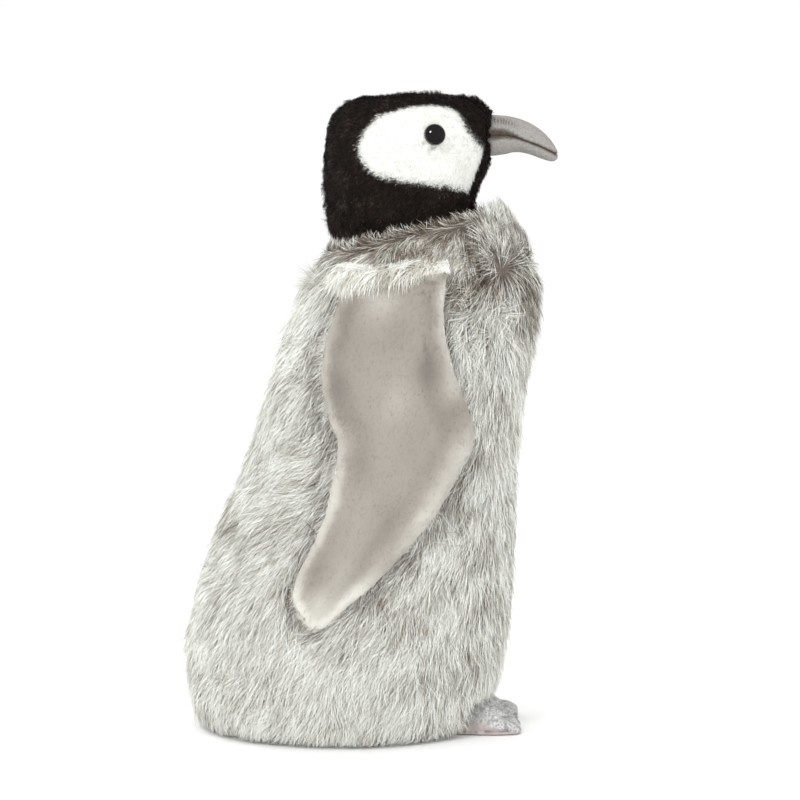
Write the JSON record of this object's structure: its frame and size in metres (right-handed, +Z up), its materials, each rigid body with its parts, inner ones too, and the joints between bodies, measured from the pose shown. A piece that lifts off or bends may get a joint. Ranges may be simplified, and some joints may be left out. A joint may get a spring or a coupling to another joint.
{
  "type": "plush penguin",
  "caption": "Standing stuffed penguin chick with long grey fur, a plush head that turns and nods on a stuffed neck, hanging flippers and feet that lift.",
  "frame": {"origin": "on the floor at the middle of the flat base", "axes": "+X forwards, where the beak points; +Y the penguin's left; +Z up"},
  "size_m": [0.2036, 0.1808, 0.353],
  "materials": {
    "grey_fur": "long grey and white pile over brown roots",
    "black_plush": "short brown-black plush pile",
    "white_plush": "short white plush pile",
    "flipper_velour": "taupe velour with a light brushed rim",
    "flipper_lining": "plain taupe velour",
    "beak_velour": "grey velour with a brown airbrushed root",
    "foot_print_cloth": "grey cloth printed with pale scale rings",
    "foot_sole_cloth": "plain pinkish-grey cloth",
    "base_cloth": "plain woven cloth",
    "pellet_bag_cloth": "plain calico",
    "stuffing": "polyester fibre stuffing",
    "eye_plastic": "high gloss",
    "washer_plastic": "satin"
  },
  "bodies": {
    "body": {"body_belly_panel": "grey_fur", "left_body_side_panel": "grey_fur", "right_body_side_panel": "grey_fur", "body_back_panel": "grey_fur", "base_panel": "base_cloth", "body_filling": "stuffing", "pellet_bag": "pellet_bag_cloth"},
    "neck": {"neck_filling": "stuffing"},
    "head": {"head_gusset": "black_plush", "left_hood_side": "black_plush", "right_hood_side": "black_plush", "left_cheek_patch": "white_plush", "right_cheek_patch": "white_plush", "head_filling": "stuffing", "left_eye": "eye_plastic", "right_eye": "eye_plastic", "left_eye_washer": "washer_plastic", "right_eye_washer": "washer_plastic", "upper_beak": "beak_velour", "lower_beak": "beak_velour", "beak_filling": "stuffing"},
    "left_flipper": {"left_flipper_outer_panel": "flipper_velour", "left_flipper_inner_panel": "flipper_lining", "left_flipper_padding": "stuffing"},
    "right_flipper": {"right_flipper_outer_panel": "flipper_velour", "right_flipper_inner_panel": "flipper_lining", "right_flipper_padding": "stuffing"},
    "left_foot": {"left_foot_top": "foot_print_cloth", "left_foot_sole": "foot_sole_cloth", "left_foot_filling": "stuffing"},
    "right_foot": {"right_foot_top": "foot_print_cloth", "right_foot_sole": "foot_sole_cloth", "right_foot_filling": "stuffing"}
  },
  "joints": [
    {"name": "head_turn", "type": "hinge", "parent": "body", "child": "neck", "pos_m": [0.0355, 0, 0.268], "axis": [0, 0, 1], "range_deg": [-18, 18], "stiffness_Nm_per_rad": 0.3},
    {"name": "head_nod", "type": "hinge", "parent": "neck", "child": "head", "pos_m": [0.0355, 0, 0.268], "axis": [0, 1, 0], "range_deg": [-4, 10], "stiffness_Nm_per_rad": 0.3},
    {"name": "left_flipper_lift", "type": "hinge", "parent": "body", "child": "left_flipper", "pos_m": [0.028, 0.07038, 0.2535], "axis": [1, 0, 0], "range_deg": [0, 75]},
    {"name": "right_flipper_lift", "type": "hinge", "parent": "body", "child": "right_flipper", "pos_m": [0.028, -0.07038, 0.2535], "axis": [-1, 0, 0], "range_deg": [0, 75]},
    {"name": "left_foot_lift", "type": "hinge", "parent": "body", "child": "left_foot", "pos_m": [0.059, 0.021, 0.0016], "axis": [0, -1, 0], "range_deg": [0, 20]},
    {"name": "right_foot_lift", "type": "hinge", "parent": "body", "child": "right_foot", "pos_m": [0.059, -0.021, 0.0016], "axis": [0, -1, 0], "range_deg": [0, 20]}
  ]
}
